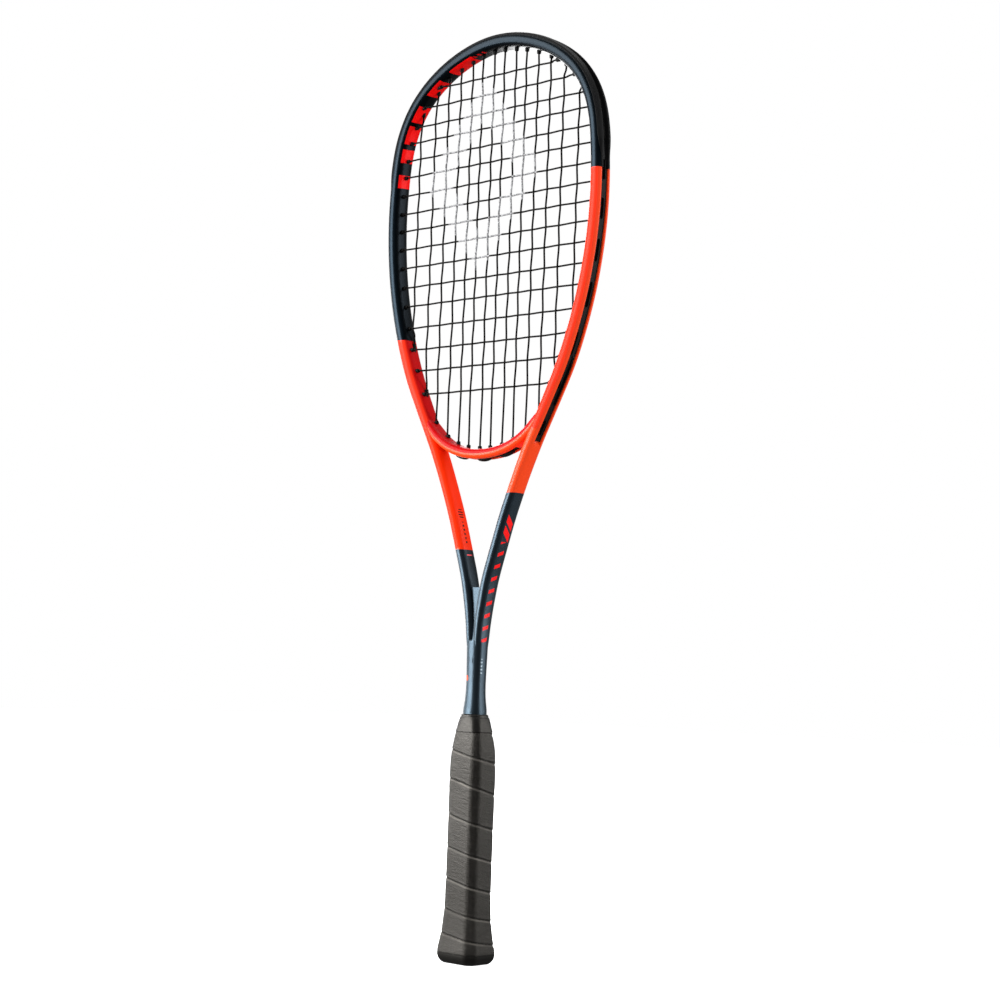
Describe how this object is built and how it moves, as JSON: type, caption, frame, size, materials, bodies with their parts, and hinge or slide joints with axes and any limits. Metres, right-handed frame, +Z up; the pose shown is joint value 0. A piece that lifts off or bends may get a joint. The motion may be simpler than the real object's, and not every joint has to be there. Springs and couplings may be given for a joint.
{
  "type": "squash racket",
  "caption": "Squash racket with hollow hairpin frame, bridged throat, woven string bed, head bumper, grommet strips, wound octagonal grip and rubber collar.",
  "frame": {"origin": "centre of the flat bottom of the butt cap", "axes": "+Z up the handle to the tip of the head, +X across the face, -Y out of the front face; the string bed lies in the XZ plane"},
  "size_m": [0.2154, 0.0322, 0.686],
  "materials": {
    "frame_paint": "satin lacquer over carbon fibre, dark slate and flame orange zones",
    "bridge_paint": "satin flame-orange lacquer over carbon fibre",
    "guard": "black moulded nylon",
    "string": "black multifilament string with a worn white stencil",
    "foam": "moulded rigid foam",
    "cap": "black moulded plastic",
    "wire": "bright steel wire",
    "grip": "cushioned synthetic band, fine pebbled, wound on a helix",
    "tape": "thin adhesive tape",
    "collar": "soft black rubber"
  },
  "bodies": {
    "racket": {"frame_tube": "frame_paint", "throat_bridge": "bridge_paint", "bumper_guard": "guard", "grommet_strip_left": "guard", "grommet_strip_right": "guard", "throat_grommet_strip": "guard", "main_string": "string", "cross_string": "string", "pallet_front": "foam", "pallet_back": "foam", "butt_cap": "cap", "cap_staple_left": "wire", "cap_staple_right": "wire", "grip_wrap": "grip", "grip_tack": "wire", "finishing_tape": "tape"},
    "collar": {"grip_collar": "collar"}
  },
  "joints": [
    {"name": "collar_slide", "type": "slide", "parent": "racket", "child": "collar", "axis": [0, 0, 1], "range_m": [0, 0.035]}
  ]
}
